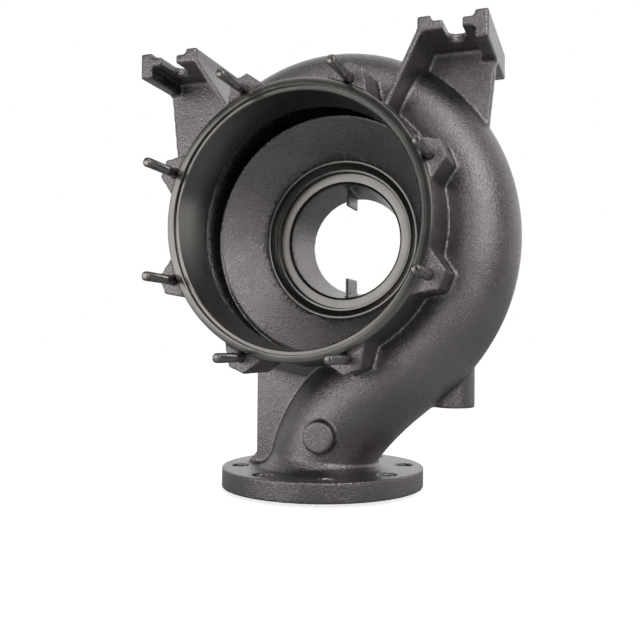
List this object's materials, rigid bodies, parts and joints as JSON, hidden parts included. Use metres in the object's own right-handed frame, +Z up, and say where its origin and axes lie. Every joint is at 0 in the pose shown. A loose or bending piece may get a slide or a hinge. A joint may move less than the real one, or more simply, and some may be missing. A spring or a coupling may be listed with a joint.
{
  "type": "volute pump casing",
  "caption": "Spiral cast-iron casing of an end-suction pump with flanged inlet and outlet, cast feet and a ring of studs for its cover.",
  "frame": {"origin": "centre of the discharge flange's raised face", "axes": "+Z up along the discharge axis into the casing, +Y along the shaft axis towards the suction side; the casing stands on its discharge flange with its feet up"},
  "size_m": [0.4035, 0.267, 0.475],
  "materials": {
    "cast_body": "as cast, dark",
    "stud_steel": "dark oiled steel"
  },
  "bodies": {
    "root": {"volute_casing": "cast_body", "cover_stud_1": "stud_steel", "cover_stud_2": "stud_steel", "cover_stud_3": "stud_steel", "cover_stud_4": "stud_steel", "cover_stud_5": "stud_steel", "cover_stud_6": "stud_steel", "cover_stud_7": "stud_steel", "cover_stud_8": "stud_steel"}
  },
  "joints": []
}
